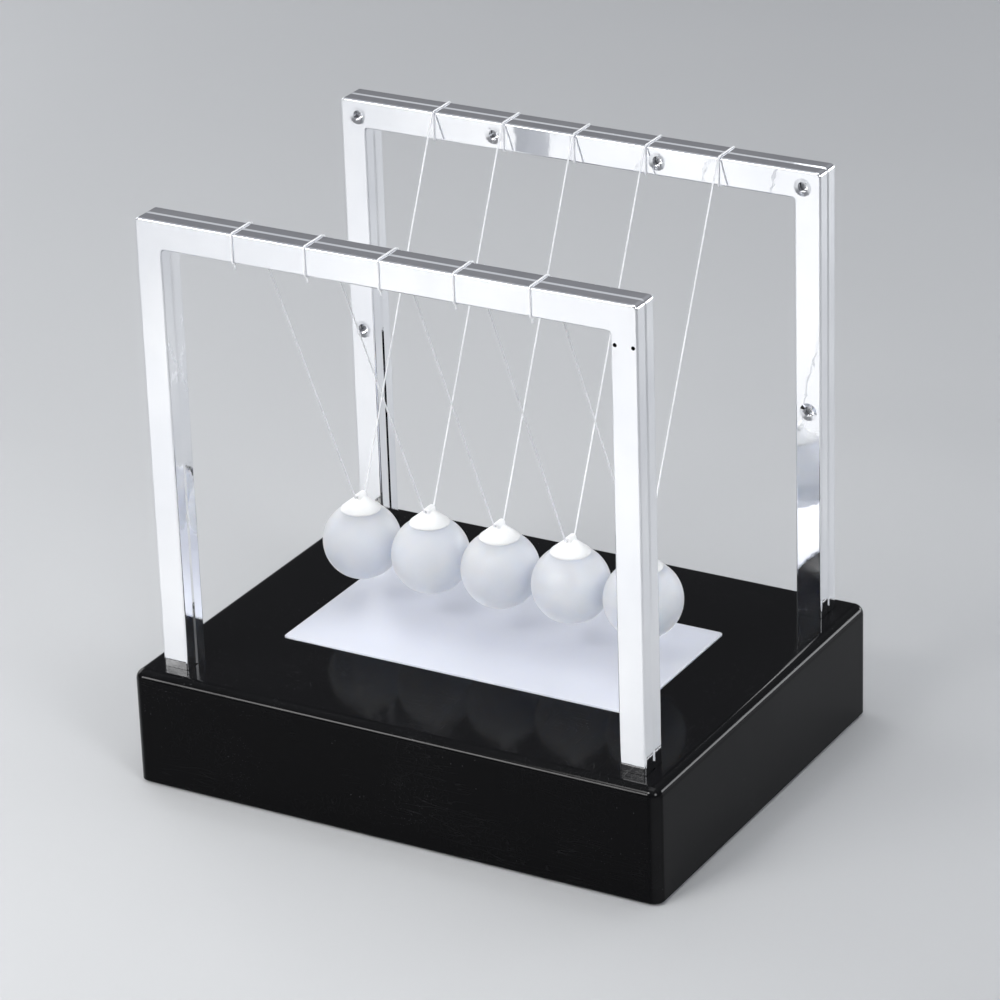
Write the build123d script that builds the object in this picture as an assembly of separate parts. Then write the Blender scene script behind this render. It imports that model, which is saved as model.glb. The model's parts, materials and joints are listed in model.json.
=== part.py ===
from build123d import *
import os

# Light-up desk newton's cradle: a glossy black battery base with a frosted light
# panel, two inverted-U plated frames, and five frosted balls hung on nylon V lines.
# Origin: centre of the ground plane under the rubber feet. +X runs along the row of
# balls, +Y from the front frame to the rear frame, +Z up. Millimetres.

os.makedirs("parts", exist_ok=True)

# ---------------------------------------------------------------- driving dimensions
BASE_L, BASE_W = 176.0, 136.8          # base, along X and Y
FOOT_STAND = 0.6                       # rubber feet hold the base off the table
BASE_TOP = 37.2                        # top face of the base
BASE_CORNER_R, BASE_TOP_R = 3.4, 3.2   # upright corners and top edge
WALL, TOP_WALL = 2.2, 2.2              # moulded wall thicknesses

PANEL_L, PANEL_W = 118.0, 59.4         # visible light panel
PANEL_PROUD = 0.5

FRAME_HALF_X = 80.8                    # outer faces of the legs
FRAME_OUT_Y, FRAME_IN_Y = 61.4, 51.6   # outer and inner faces of a frame
FRAME_TOP = 179.3
LEG_W, BAR_H = 8.4, 8.8
LEG_FOOT_Z = 22.1                      # the legs stand in sockets inside the base
FRAME_WALL = 1.3
SEAM_Y = (FRAME_OUT_Y + FRAME_IN_Y) / 2
SEAM_CHAMFER = 0.6                     # each half's bevel along the parting line
EDGE_R = 0.6

BALL_R = 11.95
BALL_PITCH = 24.0
BALL_Z = 59.3
BALL_X = [(k - 3) * BALL_PITCH for k in range(1, 6)]

CAP_RIM_R = 6.2                        # skirt of the conical cap
CAP_RIM_H = 10.7                       # top of the skirt above the ball's centre
CAP_SLOPE, CAP_TOP_R = 0.8, 0.9
EYE_H, EYE_R, EYE_HALF = 14.6, 1.15, 2.2   # cross tube that the line threads

LINE_R = 0.25                          # nylon line
PIVOT_Y, PIVOT_Z = 50.75, 179.1        # where the hanging line turns
LINE_BEND_Y = 2.7

SCREW_SPOTS = [(-27.6, 174.9), (27.6, 174.9), (-75.0, 174.2), (75.0, 174.2),
               (-76.6, 104.0), (76.6, 104.0)]
SCREW_DISH_R, SCREW_HOLE_R = 2.75, 1.6  # shallow dish round each screw hole
SCREW_DISH, SCREW_DEPTH = 0.25, 3.2     # depth of the dish and of the head's seat
PIN_HOLES = [(-2.8, 166.8), (2.8, 166.8)]  # pair of small pin marks high on one leg

BAY_X0, BAY_X1, BAY_HY, BAY_TOP = -58.5, -1.5, 22.4, 17.9
COVER_T = 2.4
CELL_R, CELL_L, CELL_Z = 7.1, 48.8, 9.4
SWITCH_X = 45.0
SWITCH_TRAVEL = 4.0
FEET = [(sx * 72.0, sy * 50.0) for sx in (-1, 1) for sy in (-1, 1)]
COVER_SCREWS = [(sx * 50.0, sy * 58.5) for sx in (-1, 1) for sy in (-1, 1)]
TRAY_SCREWS = [(sx * 66.5, sy * 26.0) for sx in (-1, 1) for sy in (-1, 1)]
LEGS = [(sx * (FRAME_HALF_X - LEG_W / 2), sy * SEAM_Y) for sx in (-1, 1) for sy in (-1, 1)]


# ---------------------------------------------------------------- helpers
def block(x0, x1, y0, y1, z0, z1):
    return Pos((x0 + x1) / 2, (y0 + y1) / 2, (z0 + z1) / 2) * Box(x1 - x0, y1 - y0, z1 - z0)


def post(x, y, z0, z1, r):
    return Pos(x, y, (z0 + z1) / 2) * Cylinder(r, z1 - z0)


def rod_y(x, z, y0, y1, r):
    return Pos(x, (y0 + y1) / 2, z) * Rot(90, 0, 0) * Cylinder(r, y1 - y0)


def rod_x(y, z, x0, x1, r):
    return Pos((x0 + x1) / 2, y, z) * Rot(0, 90, 0) * Cylinder(r, x1 - x0)


def slab(lx, ly, z0, z1, r):
    """Rectangular slab about the Z axis with rounded upright corners."""
    body = Pos(0, 0, (z0 + z1) / 2) * Box(lx, ly, z1 - z0)
    return fillet(body.edges().filter_by(Axis.Z), r) if r else body


def cross_recess(x, y, z, depth, up):
    """Cross-head driver recess sunk into a face at height z, opening along up."""
    z0, z1 = (z - depth, z + 0.1) if up > 0 else (z - 0.1, z + depth)
    return block(x - 1.2, x + 1.2, y - 0.25, y + 0.25, z0, z1) + block(
        x - 0.25, x + 0.25, y - 1.2, y + 1.2, z0, z1)


def tube(points, r, bend):
    path = FilletPolyline(*points, radius=bend)
    section = Plane(origin=path @ 0, z_dir=path % 0) * Circle(r)
    return sweep(section, path=path)


parts = {}


def add(name, *shapes):
    solids = []
    for s in shapes:
        solids += list(s.solids())
    parts[name] = solids


# ---------------------------------------------------------------- base housing
housing = slab(BASE_L, BASE_W, FOOT_STAND, BASE_TOP, BASE_CORNER_R)
housing = fillet(housing.edges().group_by(Axis.Z)[-1], BASE_TOP_R)
housing = chamfer(housing.edges().group_by(Axis.Z)[0], 0.4)
housing -= slab(BASE_L - 2 * WALL, BASE_W - 2 * WALL, FOOT_STAND - 1, BASE_TOP - TOP_WALL, 1.2)
inner_top = BASE_TOP - TOP_WALL
for x, y in LEGS:                       # leg sockets
    housing += block(x - 5.9, x + 5.9, y - 6.5, y + 6.5, 20.0, inner_top + 0.5)
for x, y in COVER_SCREWS:
    housing += post(x, y, FOOT_STAND + COVER_T + 0.05, inner_top + 0.5, 3.5)
for x, y in TRAY_SCREWS:
    housing += post(x, y, 33.35, inner_top + 0.5, 3.0)
housing -= slab(PANEL_L + 0.3, PANEL_W + 0.3, inner_top - 1, BASE_TOP + 1, 1.3)
for x, y in LEGS:
    hx, hy = LEG_W / 2 + 0.1, (FRAME_OUT_Y - FRAME_IN_Y) / 2 + 0.1
    housing -= block(x - hx, x + hx, y - hy, y + hy, 22.0, BASE_TOP + 1)
    housing -= post(x, y, 19.0, 23.0, 1.7)
for x, y in COVER_SCREWS:
    housing -= post(x, y, 2.0, 15.0, 1.35)
for x, y in TRAY_SCREWS:
    housing -= post(x, y, 33.0, 36.0, 1.15)
add("base_housing", housing)

# ---------------------------------------------------------------- bottom cover
z0, z1 = FOOT_STAND, FOOT_STAND + COVER_T
cover = slab(BASE_L - 2 * WALL - 0.3, BASE_W - 2 * WALL - 0.3, z0, z1, 1.1)
cover += block(BAY_X0 - 1.2, BAY_X1 + 1.2, -BAY_HY - 1.2, BAY_HY + 1.2, z1 - 0.2, BAY_TOP + 1.2)
cover += post(1.8, 0, z1 - 0.2, 9.5, 2.6)                      # door screw boss
cover += block(SWITCH_X - 8.2, SWITCH_X + 8.2, -5.2, 5.2, z1 - 0.2, 5.4)
for sy in (-1, 1):                                             # clips beside the switch
    cover += block(SWITCH_X - 4, SWITCH_X + 4, sy * 5.4 - 0.6, sy * 5.4 + 0.6, 5.2, 12.2)
cover -= block(BAY_X0, BAY_X1, -BAY_HY, BAY_HY, z0 - 1, BAY_TOP)
cover -= block(BAY_X0 - 1.5, 5.0, -BAY_HY - 1.5, BAY_HY + 1.5, z0 - 1, z0 + 1.2)
cover -= post(1.8, 0, 0, 8.0, 1.05)
cover -= block(SWITCH_X - 7, SWITCH_X + 7, -4, 4, z0 - 1, 4.2)
cover -= block(SWITCH_X - 4.5, SWITCH_X + 4.5, -1.6, 1.6, 4.0, 5.6)
for x, y in FEET:
    cover -= post(x, y, z0 - 1, z0 + 1.0, 6.15)
for x, y in COVER_SCREWS:
    cover -= post(x, y, z0 - 1, z0 + 1.4, 2.9)
    cover -= post(x, y, z0 - 1, z1 + 1, 1.6)
add("base_bottom_cover", cover)

door = block(BAY_X0 - 1.3, 4.8, -BAY_HY - 1.3, BAY_HY + 1.3, z0, z0 + 1.15)
door = fillet(door.edges().filter_by(Axis.Z), 0.8)
for i in range(6):                                             # thumb grip
    gx = BAY_X0 + 8 + 1.6 * i
    door -= block(gx, gx + 0.8, -7, 7, z0 - 0.1, z0 + 0.4)
door -= post(1.8, 0, z0 - 1, z0 + 0.75, 2.2)
door -= post(1.8, 0, z0 - 1, z0 + 2, 1.15)
add("battery_door", door)

door_screw = post(1.8, 0, z0, z0 + 0.7, 2.0) + post(1.8, 0, z0 + 0.6, 7.2, 0.98)
add("battery_door_screw", door_screw - cross_recess(1.8, 0, z0, 0.4, -1))

cells = []
mid = (BAY_X0 + BAY_X1) / 2
for i, y in enumerate((-14.7, 0.0, 14.7)):
    d = 1 if i % 2 else -1
    c = rod_x(y, CELL_Z, mid - CELL_L / 2 - 0.7 * d, mid + CELL_L / 2 - 0.7 * d, CELL_R)
    c = fillet(c.edges(), 0.5)
    e = mid - 0.7 * d + d * CELL_L / 2
    c += rod_x(y, CELL_Z, min(e - 0.5 * d, e + 1.4 * d), max(e - 0.5 * d, e + 1.4 * d), 2.7)
    cells.append(c)
add("battery_cells", *cells)

contacts = []
for y in (-14.7, 0.0, 14.7):
    for s, wall in ((-1, BAY_X0), (1, BAY_X1)):
        x_in = wall - s * 0.05
        plate = block(min(x_in, x_in - s * 0.4), max(x_in, x_in - s * 0.4), y - 5, y + 5, CELL_Z - 5, CELL_Z + 5)
        tip = mid + s * 25.15
        plate += Pos((x_in - s * 0.2 + tip) / 2, y, CELL_Z) * Rot(0, 90 * -s, 0) * Cone(3.4, 1.6, abs(tip - x_in + s * 0.2))
        contacts.append(plate)
add("battery_contacts", *contacts)

# ---------------------------------------------------------------- switch
sw = block(SWITCH_X - 7.5, SWITCH_X + 7.5, -4.7, 4.7, 5.45, 11.6)
sw -= block(SWITCH_X - 4.6, SWITCH_X + 4.6, -1.75, 1.75, 5.0, 7.7)
for lx in (-5.0, 0.0, 5.0):                                    # solder lugs
    sw += block(SWITCH_X + lx - 0.8, SWITCH_X + lx + 0.8, -0.25, 0.25, 11.5, 14.4)
add("switch_body", sw)

kx = SWITCH_X - SWITCH_TRAVEL / 2
knob = block(kx - 1.7, kx + 1.7, -1.4, 1.4, 3.0, 7.3)
pad = fillet(block(kx - 2.4, kx + 2.4, -2.6, 2.6, 1.2, 3.8).edges().filter_by(Axis.Z), 0.5)
for i in (-1, 0, 1):
    pad -= block(kx + i * 1.3 - 0.3, kx + i * 1.3 + 0.3, -3, 3, 1.0, 1.6)
add("switch_knob", knob + pad)

# ---------------------------------------------------------------- light box
panel = slab(PANEL_L, PANEL_W, 33.4, BASE_TOP + PANEL_PROUD, 1.2)
panel = fillet(panel.edges().group_by(Axis.Z)[-1], 0.35)
panel += slab(PANEL_L + 6, PANEL_W + 6, 33.4, 34.9, 1.0)
add("diffuser_panel", panel)

tray = slab(PANEL_L + 6, PANEL_W + 6, 21.6, 33.3, 1.5) - slab(PANEL_L + 3, PANEL_W + 3, 22.8, 34.0, 0.8)
for x, y in TRAY_SCREWS:
    s = 1 if x > 0 else -1
    tray += block(min(s * 61.2, x), max(s * 61.2, x), y - 3.2, y + 3.2, 31.3, 33.3) + post(x, y, 31.3, 33.3, 3.2)
    tray -= post(x, y, 31.0, 34.0, 1.4)
for hx, hy in ((20.0, -20.0), (14.0, -22.0)):                  # lead holes
    tray -= post(hx, hy, 21.0, 23.0, 1.3)
add("reflector_tray", tray)

board = slab(112.0, 54.0, 22.85, 24.45, 1.0)
add("led_board", board)
leds = []
for x in (-36.0, 0.0, 36.0):
    for y in (-14.0, 14.0):
        leds.append(post(x, y, 24.5, 25.5, 2.9) + post(x, y, 25.4, 27.8, 2.5) + Pos(x, y, 27.8) * Sphere(2.5))
add("leds", *leds)
chips = [block(x + 6, x + 9.2, y - 0.8, y + 0.8, 24.5, 25.1) for x in (-36.0, 0.0, 36.0) for y in (-14.0, 14.0)]
chips.append(block(-20.5, -15.5, -2.0, 2.0, 24.5, 26.0))
add("board_components", *chips)

add("tray_screws", *[post(x, y, 29.8, 31.25, 2.3) + post(x, y, 31.2, 35.7, 1.08) - cross_recess(x, y, 29.8, 0.7, -1)
                     for x, y in TRAY_SCREWS])
add("bottom_cover_screws", *[post(x, y, z0 + 0.15, z0 + 1.4, 2.7) + post(x, y, z0 + 1.3, 13.5, 1.3)
                             - cross_recess(x, y, z0 + 0.15, 0.7, -1) for x, y in COVER_SCREWS])
add("leg_screws", *[post(x, y, 18.0, 19.95, 2.8) + post(x, y, 19.9, 30.0, 1.4)
                    - cross_recess(x, y, 18.0, 0.9, -1) for x, y in LEGS])
add("rubber_feet", *[fillet(post(x, y, 0, z0 + 0.95, 6.0).edges().group_by(Axis.Z)[0], 0.3) for x, y in FEET])

# insulated leads: battery bay to switch, switch to board, battery bay to board
leads = [
    tube([(-0.2, 15.0, 13.0), (8.0, 15.0, 13.0), (20.0, 9.0, 11.0), (30.0, 2.5, 9.5), (37.4, 2.5, 9.5)], 0.6, 4.0),
    tube([(37.4, -2.5, 9.5), (30.0, -3.0, 9.8), (22.0, -10.0, 12.0), (20.0, -20.0, 16.5), (20.0, -20.0, 22.8)], 0.6, 2.6),
    tube([(-0.2, -15.0, 13.0), (5.0, -15.0, 13.0), (12.0, -19.0, 14.0), (14.0, -22.0, 17.5), (14.0, -22.0, 22.8)], 0.6, 2.0),
]
add("wire_leads", *leads)


# ---------------------------------------------------------------- frames
def u_shape(y0, y1, grow, r_out, r_in):
    """Inverted U between y0 and y1; grow moves every wall inwards by that much."""
    low = LEG_FOOT_Z - (1.0 if grow else 0.0)
    out = block(-FRAME_HALF_X + grow, FRAME_HALF_X - grow, y0, y1, low, FRAME_TOP - grow)
    gap = block(-FRAME_HALF_X + LEG_W - grow, FRAME_HALF_X - LEG_W + grow, y0 - 1, y1 + 1,
                low - 1, FRAME_TOP - BAR_H + grow)
    if r_out:
        out = fillet(out.edges().filter_by(Axis.Y).group_by(Axis.Z)[-1], r_out)
    if r_in:
        gap = fillet(gap.edges().filter_by(Axis.Y).group_by(Axis.Z)[-1], r_in)
    return out - gap


def frame_half(sign, outer):
    """One moulded half shell of a frame. sign -1 is the front frame, +1 the rear."""
    face = sign * (FRAME_OUT_Y if outer else FRAME_IN_Y)
    seam = sign * SEAM_Y
    y0, y1 = min(face, seam), max(face, seam)
    half = u_shape(y0, y1, 0, 1.5, 1.0)
    idx = 0 if face < seam else -1
    half = fillet(half.edges().filter_by(Axis.Y, reverse=True).group_by(Axis.Y)[idx].filter_by(
        lambda e: e.center().Z > LEG_FOOT_Z + 0.01), EDGE_R)
    inward = 1 if face < seam else -1
    skin = face + inward * FRAME_WALL
    c0, c1 = min(skin, seam + inward * 0.5), max(skin, seam + inward * 0.5)
    half -= u_shape(c0, c1, FRAME_WALL, 0.6, 0.6)
    return half, face, seam, skin, inward


def v_groove(seam):
    """Solid of the diamond-section groove that runs all round at the parting line."""
    g = SEAM_CHAMFER
    d = 0.42
    cuts = []
    # outside faces: left leg, right leg, top; inside faces: left, right, under the bar
    def prism_z(x):
        sk = Pos(x, seam, 0) * Polygon((-d, 0), (0, -g), (d, 0), (0, g), align=None)
        return extrude(Pos(0, 0, 10) * sk, 190)
    def prism_x(z):
        sk = Plane.YZ * Polygon((-g, 0), (0, -d), (g, 0), (0, d), align=None)
        return Pos(-100, seam, z) * extrude(sk, 200)
    for x in (-FRAME_HALF_X, FRAME_HALF_X):
        cuts.append(prism_z(x))
    for x in (-FRAME_HALF_X + LEG_W, FRAME_HALF_X - LEG_W):
        # inner faces only run up to the bar's underside
        cuts.append(prism_z(x) - block(-100, 100, seam - 5, seam + 5, FRAME_TOP - BAR_H + 0.0, 220))
    cuts.append(prism_x(FRAME_TOP))
    inner = prism_x(FRAME_TOP - BAR_H)
    inner -= block(-120, -FRAME_HALF_X + LEG_W, seam - 5, seam + 5, 100, 220)
    inner -= block(FRAME_HALF_X - LEG_W, 120, seam - 5, seam + 5, 100, 220)
    cuts.append(inner)
    return cuts


for sign, tag in ((-1, "front"), (1, "rear")):
    outer, face_o, seam, skin_o, in_o = frame_half(sign, True)
    inner, face_i, _, skin_i, in_i = frame_half(sign, False)
    groove = v_groove(seam)
    screws = []
    for x, z in SCREW_SPOTS:
        # boss in the outer half, counterbored boss in the inner half
        outer += rod_y(x, z, min(skin_o - in_o * 0.2, seam), max(skin_o - in_o * 0.2, seam), 2.3)
        hole_end = face_o + in_o * 1.4
        outer -= rod_y(x, z, min(hole_end, seam + in_o * 0.5), max(hole_end, seam + in_o * 0.5), 1.05)
        inner += rod_y(x, z, min(skin_i - in_i * 0.2, seam), max(skin_i - in_i * 0.2, seam), 3.4)
        inner -= rod_y(x, z, min(face_i - in_i * 0.5, seam + in_i * 0.5), max(face_i - in_i * 0.5, seam + in_i * 0.5), 1.2)
        cb = face_i + in_i * SCREW_DEPTH
        inner -= rod_y(x, z, min(face_i - in_i * 0.5, cb), max(face_i - in_i * 0.5, cb), SCREW_HOLE_R)
        # shallow dished mouth of the recess
        inner -= Pos(x, face_i + in_i * SCREW_DISH / 2, z) * Rot(90 * in_i, 0, 0) * Cone(
            SCREW_HOLE_R, SCREW_DISH_R, SCREW_DISH)
        h0, h1 = cb, cb - in_i * 1.2
        s = rod_y(x, z, min(h0, h1), max(h0, h1), 1.45)
        end = face_o + in_o * 1.6
        s += rod_y(x, z, min(h0, end), max(h0, end), 0.98)
        ya, yb = sorted((h1 + in_i * 0.6, h1 - in_i * 0.2))
        s -= block(x - 0.95, x + 0.95, ya, yb, z - 0.2, z + 0.2)
        s -= block(x - 0.2, x + 0.2, ya, yb, z - 0.95, z + 0.95)
        screws.append(s)
    # foot plugs: solid ends of the outer half that take the leg screws
    for sx in (-1, 1):
        cx = sx * (FRAME_HALF_X - LEG_W / 2)
        reach = seam + in_o * 2.6
        ya, yb = sorted((skin_o - in_o * 0.2, reach))
        plug = block(cx - 2.8, cx + 2.8, ya, yb, LEG_FOOT_Z, 33.0)
        outer += plug
        outer -= post(cx, seam, LEG_FOOT_Z - 1, 31.0, 1.45)
    for g in groove:
        outer -= g
        inner -= g
    # blind pin marks in the outer face of one leg; the rear frame is the same moulding turned round
    for px, pz in PIN_HOLES:
        ya, yb = sorted((face_o - in_o * 0.5, face_o + in_o * 0.85))
        outer -= rod_y(-sign * (FRAME_HALF_X - LEG_W / 2 + px), pz, ya, yb, 0.62)
    add(f"{tag}_frame_outer_half", outer)
    add(f"{tag}_frame_inner_half", inner)
    add(f"{tag}_frame_screws", *screws)

    # nylon loops tied round the top bar, one over each ball, with a small knot and a cut tail below
    loops = []
    g = LINE_R + 0.02
    ya, yb = sorted((face_o - in_o * g, face_i - in_i * g))
    zb, zt = FRAME_TOP - BAR_H - g, FRAME_TOP + g
    for x in BALL_X:
        ring = RectangleRounded(yb - ya, zt - zb, EDGE_R + g)
        path = (Plane(origin=(x, (ya + yb) / 2, (zb + zt) / 2), x_dir=(0, 1, 0), z_dir=(1, 0, 0)) * ring).wire()
        start = path @ 0
        loop = sweep(Plane(origin=start, z_dir=path % 0) * Circle(LINE_R), path=path)
        knot_y = face_o + in_o * 0.75
        loop += Pos(x, knot_y, zb - 0.28) * Sphere(0.5)
        loop += Pos(x, knot_y, zb - 1.0) * Rot(in_o * 8, 0, 0) * Cylinder(LINE_R, 1.5)
        loops.append(loop)
    add(f"{tag}_bar_line_loops", *loops)

# ---------------------------------------------------------------- balls, caps, lines
for k, x in enumerate(BALL_X, 1):
    add(f"ball_{k}", Pos(x, 0, BALL_Z) * Sphere(BALL_R))

    cap = Pos(0, 0, (9.0 + CAP_RIM_H) / 2) * Cylinder(CAP_RIM_R, CAP_RIM_H - 9.0)
    cone_h = CAP_SLOPE * (CAP_RIM_R - CAP_TOP_R)
    cap += Pos(0, 0, CAP_RIM_H + cone_h / 2) * Cone(CAP_RIM_R, CAP_TOP_R, cone_h)
    # ridge that blends the cone into the cross tube
    cap += loft(Sketch() + [Pos(0, 0, CAP_RIM_H + 0.3) * Rectangle(5.0, 6.0), Pos(0, 0, EYE_H) * Rectangle(2.1, 3.4)])
    eye = rod_y(0, EYE_H, -EYE_HALF, EYE_HALF, EYE_R)
    cap += fillet(eye.edges(), 0.5)
    cap -= Sphere(12.0)
    cap -= rod_y(0, EYE_H, -6, 6, 0.4)
    for s in (-1, 1):
        cap -= Pos(0, s * (EYE_HALF - 0.05), EYE_H) * Rot(90 * -s, 0, 0) * Cone(0.4, 0.6, 0.4)
    add(f"ball_cap_{k}", Pos(x, 0, BALL_Z) * cap)

    ze = BALL_Z + EYE_H
    line = tube([(x, -PIVOT_Y, PIVOT_Z), (x, -LINE_BEND_Y, ze), (x, LINE_BEND_Y, ze), (x, PIVOT_Y, PIVOT_Z)],
                LINE_R, 1.5)
    for s in (-1, 1):
        line += Pos(x, s * PIVOT_Y, PIVOT_Z) * Sphere(LINE_R)
    add(f"ball_line_{k}", line)

# ---------------------------------------------------------------- write
for name, solids in parts.items():
    shape = solids[0] if len(solids) == 1 else Compound(children=solids)
    export_step(shape, f"parts/{name}.step")
    print(name, len(solids), round(sum(s.volume for s in solids), 2))
run = 2 * (((PIVOT_Y - LINE_BEND_Y) ** 2 + (PIVOT_Z - BALL_Z - EYE_H) ** 2) ** 0.5) + 2 * LINE_BEND_Y
print("nodes", len(parts), "taut line length", round(run, 1))
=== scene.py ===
import bpy
import bmesh
import json
import math
from mathutils import Matrix, Vector


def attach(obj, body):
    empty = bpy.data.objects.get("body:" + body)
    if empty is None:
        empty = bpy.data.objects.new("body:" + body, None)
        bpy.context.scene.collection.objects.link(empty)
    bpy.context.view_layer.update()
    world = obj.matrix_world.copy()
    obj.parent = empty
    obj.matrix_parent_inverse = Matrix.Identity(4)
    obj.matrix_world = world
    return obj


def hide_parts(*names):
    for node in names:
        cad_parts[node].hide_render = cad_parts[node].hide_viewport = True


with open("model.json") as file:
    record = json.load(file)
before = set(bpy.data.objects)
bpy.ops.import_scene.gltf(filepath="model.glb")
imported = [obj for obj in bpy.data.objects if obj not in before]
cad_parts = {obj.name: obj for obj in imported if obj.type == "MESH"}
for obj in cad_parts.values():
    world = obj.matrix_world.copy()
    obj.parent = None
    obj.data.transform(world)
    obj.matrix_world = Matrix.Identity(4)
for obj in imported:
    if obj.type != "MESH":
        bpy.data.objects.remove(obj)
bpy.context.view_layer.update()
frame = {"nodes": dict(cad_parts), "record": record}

nodes = frame["nodes"]
scene = bpy.context.scene
MM = 0.001

# sizes repeated from the CAD model, in metres
BALL_R = 11.95 * MM
BALL_Z = 59.3 * MM
BALL_X = [(k - 3) * 24.0 * MM for k in range(1, 6)]
PIN_FACE_Y, SCREW_FACE_Y, SCREW_DISH = 61.4 * MM, 51.6 * MM, 0.25 * MM
PIN_SPOTS = [(73.8 * MM, 166.8 * MM), (79.4 * MM, 166.8 * MM)]
SCREW_SPOTS = [(27.6 * MM, 174.9 * MM), (75.0 * MM, 174.2 * MM), (76.6 * MM, 104.0 * MM)]


# ---------------------------------------------------------------- node helpers
class Mat:
    """A small builder for procedural materials. Coordinates are the object's own, in metres."""

    def __init__(self, name):
        self.m = bpy.data.materials.new(name)
        self.m.use_nodes = True
        self.nt = self.m.node_tree
        self.bsdf = self.nt.nodes["Principled BSDF"]
        self.out = self.nt.nodes["Material Output"]
        tc = self.nt.nodes.new("ShaderNodeTexCoord")
        self.obj = tc.outputs["Object"]

    def set(self, **kw):
        for k, v in kw.items():
            self.bsdf.inputs[k.replace("_", " ")].default_value = v
        return self

    def link(self, a, b):
        self.nt.links.new(a, b)

    def mapping(self, scale=(1, 1, 1), rot=(0, 0, 0), loc=(0, 0, 0)):
        n = self.nt.nodes.new("ShaderNodeMapping")
        n.inputs["Scale"].default_value = scale
        n.inputs["Rotation"].default_value = rot
        n.inputs["Location"].default_value = loc
        self.link(self.obj, n.inputs["Vector"])
        return n.outputs["Vector"]

    def noise(self, scale, detail=2.0, rough=0.5, vec=None, distort=0.0):
        n = self.nt.nodes.new("ShaderNodeTexNoise")
        n.inputs["Scale"].default_value = scale
        n.inputs["Detail"].default_value = detail
        n.inputs["Roughness"].default_value = rough
        n.inputs["Distortion"].default_value = distort
        self.link(vec if vec is not None else self.obj, n.inputs["Vector"])
        return n.outputs["Fac"]

    def voronoi(self, scale, vec=None, feature="F1"):
        n = self.nt.nodes.new("ShaderNodeTexVoronoi")
        n.feature = feature
        n.inputs["Scale"].default_value = scale
        self.link(vec if vec is not None else self.obj, n.inputs["Vector"])
        return n.outputs["Distance"]

    def range(self, src, a, b, lo, hi, smooth=False):
        n = self.nt.nodes.new("ShaderNodeMapRange")
        n.clamp = True
        if smooth:
            n.interpolation_type = "SMOOTHSTEP"
        n.inputs["From Min"].default_value = a
        n.inputs["From Max"].default_value = b
        n.inputs["To Min"].default_value = lo
        n.inputs["To Max"].default_value = hi
        self.link(src, n.inputs["Value"])
        return n.outputs["Result"]

    def math(self, op, a, b=None, clamp=False):
        n = self.nt.nodes.new("ShaderNodeMath")
        n.operation = op
        n.use_clamp = clamp
        for i, v in enumerate((a, b)):
            if v is None:
                continue
            if isinstance(v, (int, float)):
                n.inputs[i].default_value = v
            else:
                self.link(v, n.inputs[i])
        return n.outputs["Value"]

    def mix(self, fac, c1, c2):
        n = self.nt.nodes.new("ShaderNodeMix")
        n.data_type = "RGBA"
        for sock, v in ((n.inputs[6], c1), (n.inputs[7], c2)):
            if isinstance(v, tuple):
                sock.default_value = (*v, 1.0)
            else:
                self.link(v, sock)
        if isinstance(fac, (int, float)):
            n.inputs[0].default_value = fac
        else:
            self.link(fac, n.inputs[0])
        return n.outputs[2]

    def bump(self, height, distance, strength=1.0, prev=None):
        n = self.nt.nodes.new("ShaderNodeBump")
        n.inputs["Distance"].default_value = distance
        n.inputs["Strength"].default_value = strength
        self.link(height, n.inputs["Height"])
        if prev is not None:
            self.link(prev, n.inputs["Normal"])
        return n.outputs["Normal"]

    def sep(self):
        n = self.nt.nodes.new("ShaderNodeSeparateXYZ")
        self.link(self.obj, n.inputs[0])
        return n.outputs

    def to(self, name, sock):
        self.link(sock, self.bsdf.inputs[name])


def scratches(m, width=0.5, along=(1, 1, 1), rot=(0, 0, 0), loc=(0, 0, 0), lo=0.0, hi=0.05, scale=900.0):
    """Thin hairline marks: strongly stretched noise, kept only where it crosses its middle."""
    v = m.mapping(scale=along, rot=rot, loc=loc)
    n = m.noise(scale, detail=1.0, rough=0.4, vec=v, distort=0.2)
    d = m.math("ABSOLUTE", m.math("SUBTRACT", n, 0.5))
    line = m.range(d, lo, hi, 1.0, 0.0, smooth=True)
    patch = m.range(m.noise(38.0, detail=2.0, vec=m.mapping(loc=loc)), 0.5, 0.68, 0.0, 1.0, smooth=True)
    return m.math("MULTIPLY", line, patch)


def specks(m, scale, size, density_scale=90.0, low=0.5, high=0.7):
    """Sparse dust: small voronoi cells' centres, thinned out by a broad noise."""
    v = m.voronoi(scale)
    dot = m.range(v, size * 0.5, size, 1.0, 0.0, smooth=True)
    keep = m.range(m.noise(density_scale, detail=2.0), low, high, 0.0, 1.0, smooth=True)
    return m.math("MULTIPLY", dot, keep)


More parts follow.
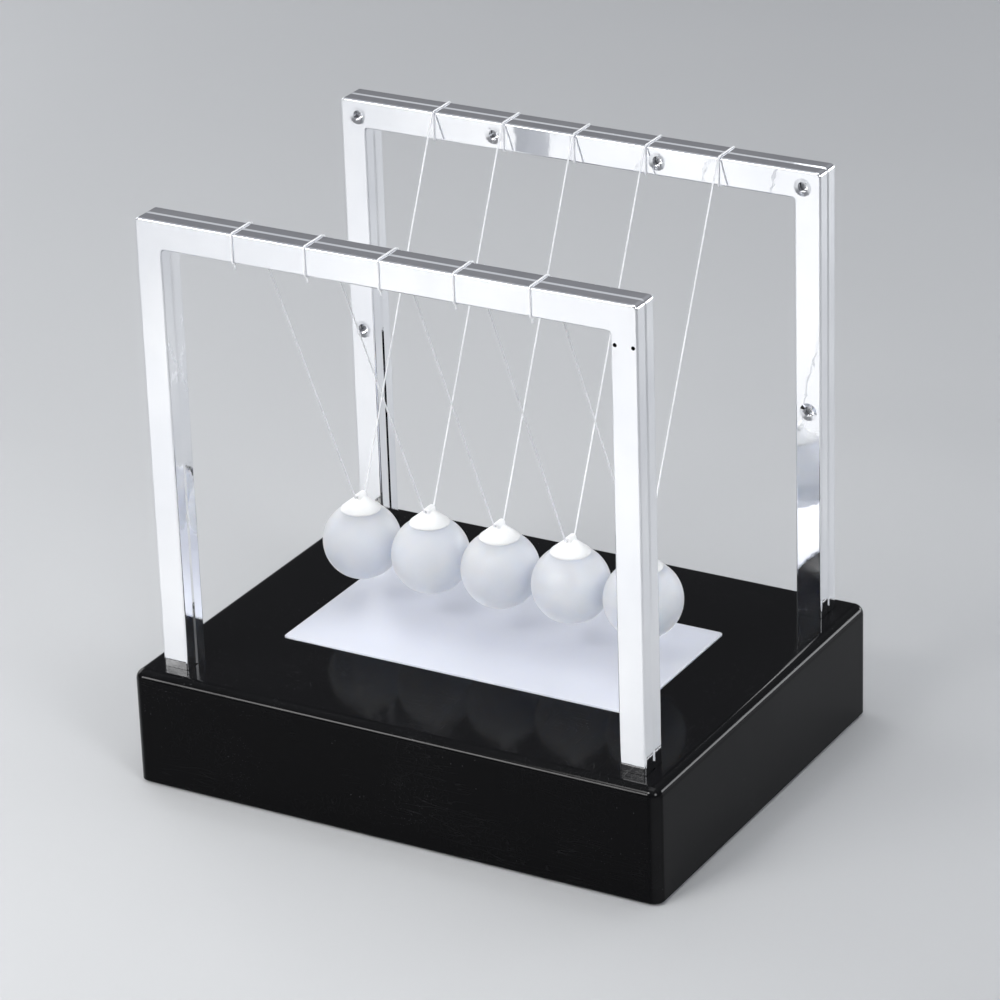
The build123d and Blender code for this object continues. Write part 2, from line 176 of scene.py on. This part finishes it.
# ---------------------------------------------------------------- materials
def chrome_plate(name, offset, outer):
    m = Mat(name).set(IOR=1.5)
    tint = m.noise(26.0, detail=3.0, vec=m.mapping(loc=offset))
    base = m.mix(m.range(tint, 0.35, 0.7, 0.0, 1.0), (0.83, 0.84, 0.87), (0.93, 0.935, 0.95))
    smudge = m.noise(55.0, detail=4.0, rough=0.6, vec=m.mapping(loc=offset), distort=0.6)
    haze = m.range(smudge, 0.45, 0.72, 0.0, 1.0, smooth=True)
    scr = scratches(m, along=(0.12, 1.0, 1.0), rot=(0.1, 0.5, 0.2), loc=offset, hi=0.010, scale=700.0)
    scr2 = scratches(m, along=(1.0, 1.0, 0.1), rot=(0.3, -0.25, 0.0), loc=offset, hi=0.009, scale=640.0)
    marks = m.math("MAXIMUM", scr, scr2)
    r = m.math("ADD", m.range(haze, 0.0, 1.0, 0.035, 0.105), m.math("MULTIPLY", marks, 0.05))
    m.to("Roughness", r)
    base = m.mix(m.math("MULTIPLY", marks, 0.12), base, (0.72, 0.73, 0.76))
    # painted shade: inside the small bores the colour is darkened to stand in for the shade there
    x, y, z = m.sep()
    ax, ay = m.math("ABSOLUTE", x), m.math("ABSOLUTE", y)

    def bore(spots, radius):
        out = None
        for bx, bz in spots:
            dx = m.math("SUBTRACT", ax, bx)
            dz = m.math("SUBTRACT", z, bz)
            d = m.math("SQRT", m.math("ADD", m.math("MULTIPLY", dx, dx), m.math("MULTIPLY", dz, dz)))
            near = m.range(d, radius - 0.00004, radius + 0.00004, 1.0, 0.0)
            out = near if out is None else m.math("MAXIMUM", out, near)
        return out

    inside = (m.math("LESS_THAN", ay, PIN_FACE_Y - 0.00006) if outer
              else m.math("GREATER_THAN", ay, SCREW_FACE_Y + SCREW_DISH + 0.0003))
    bore_shade = m.math("MULTIPLY", bore(PIN_SPOTS if outer else SCREW_SPOTS, 0.00070 if outer else 0.00164), inside)
    if outer:
        m.to("Base Color", m.mix(bore_shade, base, (0.012, 0.012, 0.014)))
        m.to("Metallic", m.math("SUBTRACT", 1.0, bore_shade))
    else:                                       # the wide screw recesses stay metal, their colour pulled 40% toward dull grey as painted shade
        m.to("Base Color", m.mix(m.math("MULTIPLY", bore_shade, 0.4), base, (0.30, 0.30, 0.33)))
        m.set(Metallic=1.0)
    # plated plastic is never quite flat: slow ripple, then a finer orange peel and fine pits
    slow = m.noise(75.0, detail=1.0, rough=0.4, vec=m.mapping(loc=offset))
    fine = m.noise(420.0, detail=2.0, rough=0.5, vec=m.mapping(loc=offset))
    n = m.bump(slow, 0.00022, 0.6)
    n = m.bump(fine, 0.000016, 0.7, prev=n)
    n = m.bump(marks, 0.000003, 0.4, prev=n)
    m.to("Normal", n)
    return m.m


def gloss_black():
    m = Mat("gloss_black").set(Metallic=0.0, IOR=1.45, Specular_IOR_Level=0.07)
    cloud = m.noise(18.0, detail=3.0)
    base = m.mix(cloud, (0.0010, 0.0010, 0.0012), (0.0022, 0.0022, 0.0027))
    dust = m.math("MAXIMUM", specks(m, 520.0, 0.09, 60.0, 0.52, 0.68), specks(m, 1300.0, 0.12, 45.0, 0.50, 0.64))
    scr = m.math("MAXIMUM",
                 scratches(m, along=(0.07, 1.0, 1.0), rot=(0.0, 0.0, 0.42), hi=0.009, scale=620.0),
                 scratches(m, along=(1.0, 0.07, 1.0), rot=(0.0, 0.0, -0.3), loc=(0.3, 0.1, 0.0), hi=0.009, scale=560.0))
    base = m.mix(m.math("MULTIPLY", dust, 0.30), base, (0.20, 0.20, 0.21))
    m.to("Base Color", m.mix(m.math("MULTIPLY", scr, 0.06), base, (0.16, 0.16, 0.17)))
    smudge = m.range(m.noise(30.0, detail=4.0, rough=0.6, distort=0.8), 0.46, 0.74, 0.0, 1.0, smooth=True)
    r = m.range(smudge, 0.0, 1.0, 0.10, 0.17)
    r = m.math("ADD", r, m.math("MULTIPLY", scr, 0.14))
    r = m.math("ADD", r, m.math("MULTIPLY", dust, 0.4), clamp=True)
    m.to("Roughness", r)
    # the rounded edges come out of the mould with a brighter polish than the flats
    x, y, z = m.sep()
    ex = m.range(m.math("ABSOLUTE", x), 0.0853, 0.0861, 0.0, 1.0)
    ey = m.range(m.math("ABSOLUTE", y), 0.0657, 0.0665, 0.0, 1.0)
    ez = m.range(z, 0.0346, 0.0354, 0.0, 1.0)
    two = m.math("MAXIMUM", m.math("MULTIPLY", ex, ey), m.math("MULTIPLY", m.math("MAXIMUM", ex, ey), ez))
    m.to("Coat Weight", m.math("MULTIPLY", two, m.range(smudge, 0.0, 1.0, 0.24, 0.16)))
    m.set(Coat_Roughness=0.10, Coat_IOR=1.5)
    peel = m.noise(240.0, detail=1.5, rough=0.4)
    n = m.bump(peel, 0.00002, 0.5)
    n = m.bump(m.math("ADD", m.math("MULTIPLY", scr, -0.5), dust), 0.00001, 0.7, prev=n)
    m.to("Normal", n)
    return m.m


def matte_black(name="matte_black", grain=2600.0):
    m = Mat(name).set(IOR=1.5)
    cloud = m.noise(40.0, detail=3.0)
    scuff = m.math("MAXIMUM",
                   scratches(m, along=(0.08, 1.0, 1.0), rot=(0.0, 0.0, 0.8), hi=0.014, scale=520.0),
                   scratches(m, along=(1.0, 0.08, 1.0), rot=(0.0, 0.0, 0.1), loc=(0.2, 0.3, 0.0), hi=0.014, scale=480.0))
    base = m.mix(cloud, (0.016, 0.016, 0.017), (0.026, 0.026, 0.028))
    m.to("Base Color", m.mix(m.math("MULTIPLY", scuff, 0.18), base, (0.10, 0.10, 0.105)))
    m.to("Roughness", m.range(m.noise(120.0, detail=3.0), 0.3, 0.7, 0.42, 0.62))
    n = m.bump(m.voronoi(grain), 0.00004, 0.6)
    m.to("Normal", m.bump(m.noise(grain * 0.5, detail=2.0), 0.00003, 0.5, prev=n))
    return m.m


def frosted_panel():
    m = Mat("frosted_panel").set(IOR=1.49, Subsurface_Weight=0.5, Subsurface_Scale=0.004,
                                 Subsurface_Radius=(1.0, 1.05, 1.2), Coat_Weight=0.12, Coat_Roughness=0.22)
    cloud = m.noise(24.0, detail=3.0)
    m.to("Base Color", m.mix(cloud, (0.64, 0.66, 0.73), (0.69, 0.705, 0.77)))
    smudge = m.range(m.noise(42.0, detail=4.0, distort=0.7), 0.45, 0.75, 0.0, 1.0, smooth=True)
    m.to("Roughness", m.range(smudge, 0.0, 1.0, 0.30, 0.42))
    n = m.bump(m.noise(3200.0, detail=2.0, rough=0.6), 0.00002, 0.5)
    m.to("Normal", m.bump(m.noise(420.0, detail=1.0), 0.00002, 0.35, prev=n))
    return m.m


def frosted_ball():
    m = Mat("frosted_ball").set(IOR=1.45, Subsurface_Weight=1.0, Subsurface_Scale=0.016,
                                Subsurface_Radius=(0.9, 1.0, 1.15), Transmission_Weight=0.40,
                                Sheen_Weight=1.0, Sheen_Roughness=0.38, Coat_Weight=0.08, Coat_Roughness=0.34)
    cloud = m.noise(70.0, detail=3.0, rough=0.5)
    m.to("Base Color", m.mix(m.range(cloud, 0.35, 0.7, 0.0, 1.0), (0.80, 0.83, 0.91), (0.85, 0.875, 0.935)))
    haze = m.noise(260.0, detail=3.0, rough=0.6)
    m.to("Roughness", m.range(haze, 0.3, 0.7, 0.38, 0.50))
    n = m.bump(m.noise(5200.0, detail=2.0, rough=0.6), 0.00002, 0.6)
    m.to("Normal", m.bump(m.noise(900.0, detail=2.0), 0.000012, 0.5, prev=n))
    return m.m


def cap_white():
    m = Mat("cap_white").set(IOR=1.48, Subsurface_Weight=0.7, Subsurface_Scale=0.003,
                             Subsurface_Radius=(1.0, 1.0, 1.1), Coat_Weight=0.1, Coat_Roughness=0.2)
    m.to("Base Color", m.mix(m.noise(420.0, detail=3.0), (0.93, 0.935, 0.95), (0.97, 0.97, 0.975)))
    m.to("Roughness", m.range(m.noise(700.0, detail=3.0), 0.3, 0.7, 0.26, 0.40))
    n = m.bump(m.noise(1900.0, detail=2.0), 0.000018, 0.5)
    m.to("Normal", n)
    return m.m


def nylon():
    m = Mat("nylon_line").set(IOR=1.53, Coat_Weight=0.3, Coat_Roughness=0.2)
    m.to("Base Color", m.mix(m.noise(90.0, detail=2.0), (0.80, 0.81, 0.835), (0.90, 0.905, 0.92)))
    m.to("Roughness", m.range(m.noise(240.0, detail=2.0), 0.3, 0.7, 0.24, 0.36))
    m.to("Normal", m.bump(m.noise(700.0, detail=1.0), 0.000006, 0.4))
    return m.m


def steel():
    m = Mat("screw_steel").set(Metallic=1.0)
    ring = m.noise(2200.0, detail=3.0, rough=0.6)
    m.to("Base Color", m.mix(m.noise(600.0, detail=3.0), (0.66, 0.665, 0.68), (0.80, 0.805, 0.81)))
    m.to("Roughness", m.range(ring, 0.3, 0.7, 0.14, 0.30))
    m.to("Normal", m.bump(ring, 0.00002, 0.5))
    return m.m


def rubber():
    m = Mat("foot_rubber").set(IOR=1.5)
    m.to("Base Color", m.mix(m.noise(300.0, detail=3.0), (0.020, 0.020, 0.021), (0.045, 0.044, 0.043)))
    m.to("Roughness", m.range(m.noise(900.0, detail=2.0), 0.3, 0.7, 0.70, 0.92))
    m.to("Normal", m.bump(m.noise(2600.0, detail=3.0), 0.00006, 0.6))
    return m.m


def simple(name, dark, light, rough=(0.35, 0.5), metallic=0.0, scale=500.0, bump=0.00003, **kw):
    m = Mat(name).set(Metallic=metallic, **kw)
    m.to("Base Color", m.mix(m.noise(scale, detail=3.0), dark, light))
    m.to("Roughness", m.range(m.noise(scale * 1.7, detail=2.0), 0.3, 0.7, *rough))
    m.to("Normal", m.bump(m.noise(scale * 4.0, detail=2.0), bump, 0.5))
    return m.m


def cell_jacket():
    """Plain two-band battery jacket: dark sleeve, coppery band at the plus end, no marks."""
    m = Mat("cell_jacket").set(Metallic=0.6)
    x = m.sep()[0]
    band = m.range(m.math("ABSOLUTE", m.math("ADD", x, 0.030)), 0.0140, 0.0142, 0.0, 1.0)
    base = m.mix(band, (0.03, 0.035, 0.045), (0.55, 0.33, 0.16))
    m.to("Base Color", m.mix(m.math("MULTIPLY", m.noise(500.0, detail=3.0), 0.2), base, (0.2, 0.2, 0.2)))
    m.to("Roughness", m.range(m.noise(900.0, detail=2.0), 0.3, 0.7, 0.22, 0.38))
    m.to("Normal", m.bump(m.noise(1500.0, detail=2.0), 0.00001, 0.5))
    return m.m


def board_green():
    m = Mat("board_green").set(IOR=1.5, Coat_Weight=0.3, Coat_Roughness=0.2)
    v = m.mapping(scale=(1.0, 1.0, 0.0), rot=(0, 0, 0.785))
    tracks = m.range(m.voronoi(260.0, vec=v), 0.30, 0.34, 1.0, 0.0)
    m.to("Base Color", m.mix(tracks, (0.015, 0.11, 0.045), (0.03, 0.20, 0.08)))
    m.to("Roughness", m.range(m.noise(700.0), 0.3, 0.7, 0.25, 0.4))
    m.to("Normal", m.bump(tracks, 0.00004, 0.5))
    return m.m


MATS = {
    "gloss_black": gloss_black(),
    "matte_black": matte_black(),
    "frosted_panel": frosted_panel(),
    "frosted_ball": frosted_ball(),
    "cap_white": cap_white(),
    "nylon_line": nylon(),
    "screw_steel": steel(),
    "foot_rubber": rubber(),
    "cell_jacket": cell_jacket(),
    "contact_metal": simple("contact_metal", (0.55, 0.54, 0.50), (0.75, 0.74, 0.70), (0.2, 0.35), 1.0, 900.0),
    "tray_white": simple("tray_white", (0.78, 0.78, 0.78), (0.88, 0.88, 0.88), (0.4, 0.55)),
    "board_green": board_green(),
    "led_lens": simple("led_lens", (0.80, 0.82, 0.86), (0.90, 0.92, 0.95), (0.12, 0.25), 0.0, 600.0,
                       Transmission_Weight=0.40, IOR=1.5),
    "chip_black": simple("chip_black", (0.018, 0.018, 0.02), (0.035, 0.035, 0.037), (0.45, 0.6), 0.0, 1500.0),
    "lead_insulation": simple("lead_insulation", (0.34, 0.012, 0.012), (0.46, 0.02, 0.02), (0.35, 0.5), 0.0, 800.0),
}
CHROME = {
    "front_frame_outer_half": chrome_plate("chrome_front_outer", (0.0, 0.0, 0.0), True),
    "front_frame_inner_half": chrome_plate("chrome_front_inner", (0.4, 0.1, 0.3), False),
    "rear_frame_outer_half": chrome_plate("chrome_rear_outer", (0.9, 0.5, 0.1), True),
    "rear_frame_inner_half": chrome_plate("chrome_rear_inner", (0.2, 0.8, 0.6), False),
}
SLOT = {s["node"]: s["material_slot"] for s in frame["record"]["subparts"]}


def dress(obj, material):
    obj.data.materials.clear()
    obj.data.materials.append(material)


for name, obj in nodes.items():
    dress(obj, CHROME.get(name) or MATS[SLOT[name]])


# ---------------------------------------------------------------- replacement pieces
def link(obj):
    scene.collection.objects.link(obj)
    return obj


def mesh_object(name, bm, smooth=True):
    me = bpy.data.meshes.new(name)
    bm.to_mesh(me)
    bm.free()
    for p in me.polygons:
        p.use_smooth = smooth
    return link(bpy.data.objects.new(name, me))


def revolve(name, profile, steps):
    """Closed turned body about Z from (radius, height) points that start and end on the axis."""
    bm = bmesh.new()
    rings = []
    for r, h in profile:
        if r < 1e-9:
            rings.append([bm.verts.new((0, 0, h))])
        else:
            rings.append([bm.verts.new((r * math.cos(2 * math.pi * i / steps), r * math.sin(2 * math.pi * i / steps), h))
                          for i in range(steps)])
    for a, b in zip(rings, rings[1:]):
        for i in range(steps):
            j = (i + 1) % steps
            if len(a) == 1:
                bm.faces.new((a[0], b[j], b[i]))
            elif len(b) == 1:
                bm.faces.new((a[i], a[j], b[0]))
            else:
                bm.faces.new((a[i], a[j], b[j], b[i]))
    bmesh.ops.recalc_face_normals(bm, faces=bm.faces)
    return mesh_object(name, bm)


def ball_profile():
    """A moulded ball: true sphere, with a shallow seat pressed in under the cap's skirt
    and a hairline witness of the mould's parting line round the middle."""
    pts = []
    n = 120
    for i in range(n + 1):
        t = -math.pi / 2 + math.pi * i / n
        r = BALL_R
        h = r * math.sin(t)
        if h > 10.45 * MM:                      # seat, hidden under the cap
            r -= 0.10 * MM * min(1.0, (h - 10.45 * MM) / (0.3 * MM))
        g = abs(h) / (0.22 * MM)
        if g < 1.0:
            r -= 0.018 * MM * (1.0 - g)
        c = r * math.cos(t)
        pts.append((0.0 if i in (0, n) else c, r * math.sin(t)))
    return pts


def blended_cap(source):
    """The cap as it comes out of its mould: the sharp CAD solid rebuilt with soft inside corners."""
    me = source.data.copy()
    o = link(bpy.data.objects.new("cap_master", me))
    me.materials.clear()
    mod = o.modifiers.new("weld", "WELD")
    mod.merge_threshold = 1e-6
    mod = o.modifiers.new("remesh", "REMESH")
    mod.mode = "VOXEL"
    mod.voxel_size = 0.00013
    mod.use_smooth_shade = True
    mod = o.modifiers.new("smooth", "CORRECTIVE_SMOOTH")
    mod.iterations = 10
    mod.factor = 0.5
    mod.smooth_type = "SIMPLE"
    mod.rest_source = "ORCO"
    mod.use_only_smooth = True
    dg = bpy.context.evaluated_depsgraph_get()
    out = bpy.data.meshes.new_from_object(o.evaluated_get(dg))
    bpy.data.objects.remove(o)
    for p in out.polygons:
        p.use_smooth = True
    return out


cap_mesh = blended_cap(nodes["ball_cap_3"])
for k, x in enumerate(BALL_X, 1):
    body = f"pendulum_{k}"
    ball = revolve(f"frosted_ball_{k}", ball_profile(), 160)
    ball.data.transform(Matrix.Rotation(0.31 * k, 4, "Z"))
    ball.data.transform(Matrix.Translation((x, 0, BALL_Z)))
    dress(ball, MATS["frosted_ball"])
    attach(ball, body)
    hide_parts(f"ball_{k}")

    me = cap_mesh.copy()
    me.transform(Matrix.Translation((x, 0, 0)))
    cap = link(bpy.data.objects.new(f"moulded_cap_{k}", me))
    dress(cap, MATS["cap_white"])
    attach(cap, body)
    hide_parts(f"ball_cap_{k}")


# ---------------------------------------------------------------- floor, lights, camera
def floor():
    bm = bmesh.new()
    bmesh.ops.create_grid(bm, x_segments=2, y_segments=2, size=4.0)
    o = mesh_object("floor", bm, smooth=False)
    m = Mat("floor_pale").set(IOR=1.45)
    m.to("Base Color", m.mix(m.noise(3.0, detail=3.0), (0.47, 0.475, 0.485), (0.50, 0.505, 0.512)))
    m.to("Roughness", m.range(m.noise(8.0, detail=2.0), 0.3, 0.7, 0.45, 0.55))
    dress(o, m.m)


def area(name, loc, target, size, power, colour=(1, 1, 1), spread=180):
    data = bpy.data.lights.new(name, "AREA")
    data.shape = "RECTANGLE"
    data.size, data.size_y = size
    data.energy = power
    data.color = colour
    data.spread = math.radians(spread)
    o = link(bpy.data.objects.new(name, data))
    o.location = loc
    o.visible_camera = False
    o.rotation_euler = (Vector(target) - Vector(loc)).to_track_quat("-Z", "Y").to_euler()
    return o


floor()
area("left_softbox", (-1.00, 0.30, 0.42), (0, 0, 0.05), (0.8, 0.6), 4.0, (0.98, 0.99, 1.0))
area("right_softbox", (0.98, -0.52, 0.62), (0, 0, 0.06), (0.6, 0.5), 0.38, (0.97, 0.985, 1.0), 30)
area("rim_softbox", (0.72, 1.22, 0.27), (0, 0, 0.07), (0.8, 0.30), 5.6, (0.96, 0.98, 1.0))
area("table_softbox", (-0.30, -1.00, 0.85), (-0.13, -0.30, 0.0), (0.45, 0.35), 0.80, (1.0, 0.995, 0.985), 45)
area("front_softbox", (-0.55, -0.95, 0.42), (0, -0.06, 0.04), (0.42, 0.22), 3.6, (1.0, 0.995, 0.985))
area("overhead_softbox", (0.06, 0.0, 1.30), (0, 0, 0.05), (0.9, 1.0), 5.1, (0.97, 0.985, 1.0))

world = bpy.data.worlds.new("studio")
world.use_nodes = True
wt = world.node_tree
wc = wt.nodes.new("ShaderNodeTexCoord")
ws = wt.nodes.new("ShaderNodeSeparateXYZ")
wr = wt.nodes.new("ShaderNodeValToRGB")
wt.links.new(wc.outputs["Generated"], ws.inputs[0])
wt.links.new(ws.outputs["Z"], wr.inputs["Fac"])
wr.color_ramp.interpolation = "EASE"
wr.color_ramp.elements[0].position = 0.0
wr.color_ramp.elements[0].color = (0.27, 0.275, 0.285, 1.0)
for at, level in ((0.30, 0.22), (0.44, 0.28)):
    e = wr.color_ramp.elements.new(at)
    e.color = (level, level * 1.02, level * 1.09, 1.0)
wr.color_ramp.elements[3].position = 0.95
wr.color_ramp.elements[3].color = (0.62, 0.64, 0.67, 1.0)
wt.links.new(wr.outputs["Color"], wt.nodes["Background"].inputs["Color"])
wt.nodes["Background"].inputs["Strength"].default_value = 1.0
scene.world = world

# the camera stands where the photograph was taken from: about 30 degrees round from the
# front and 24 degrees up, some 1.4 m away
YAW, PITCH, ROLL = -0.5275, -0.4218, -0.0338
FOCAL = 4546.85 / 1000.0
fw = Vector((math.cos(PITCH) * math.sin(YAW), math.cos(PITCH) * math.cos(YAW), math.sin(PITCH)))
right = Vector((math.cos(YAW), -math.sin(YAW), 0.0))
up = right.cross(fw)
r2 = right * math.cos(ROLL) + up * math.sin(ROLL)
u2 = -right * math.sin(ROLL) + up * math.cos(ROLL)
cam_data = bpy.data.cameras.new("photo_camera")
cam_data.sensor_fit = "HORIZONTAL"
cam_data.sensor_width = 36.0
cam_data.lens = FOCAL * 36.0
cam_data.clip_start, cam_data.clip_end = 0.05, 50.0
cam = link(bpy.data.objects.new("photo_camera", cam_data))
m4 = Matrix.Identity(4)
for i in range(3):
    m4[i][0], m4[i][1], m4[i][2] = r2[i], u2[i], -fw[i]
m4[0][3], m4[1][3], m4[2][3] = 0.61752, -1.05897, 0.63181
cam.matrix_world = m4
scene.camera = cam
scene.view_settings.view_transform = "Standard"
scene.view_settings.look = "None"
